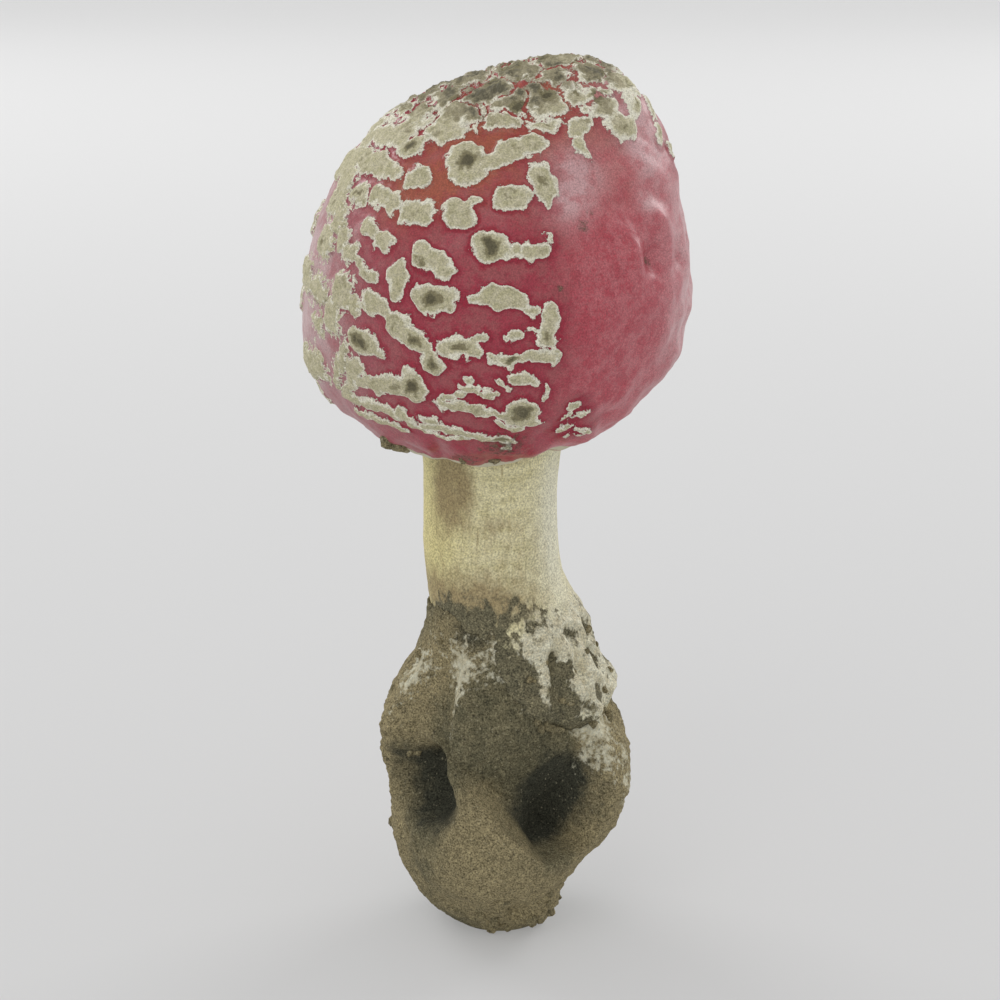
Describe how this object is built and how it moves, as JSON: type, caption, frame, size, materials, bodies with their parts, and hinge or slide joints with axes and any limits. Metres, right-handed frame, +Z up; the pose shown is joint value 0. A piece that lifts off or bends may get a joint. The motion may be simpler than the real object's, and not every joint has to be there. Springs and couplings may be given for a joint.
{
  "type": "fly agaric mushroom",
  "caption": "Upright fly agaric mushroom in its closed button stage: a globe-shaped red cap with raised cream warts on a stout cream stalk, its bulb in a clod of soil that stands on a flat foot",
  "frame": {"origin": "in the middle of the clod's flat foot, on the surface that the mushroom stands on", "axes": "+Z is up along the stalk, -Y is the front with the warts and the two hollows of the clod, +X is to the right seen from the front, where the cap is bald"},
  "size_m": [0.0645, 0.0652, 0.1506],
  "materials": {
    "cap": "moist crimson skin with dry cream warts",
    "stalk": "dry cream flesh with fine fibres",
    "soil": "dull damp grey-brown loam"
  },
  "bodies": {
    "root": {"cap": "cap", "stalk": "stalk", "soil": "soil"}
  },
  "joints": []
}
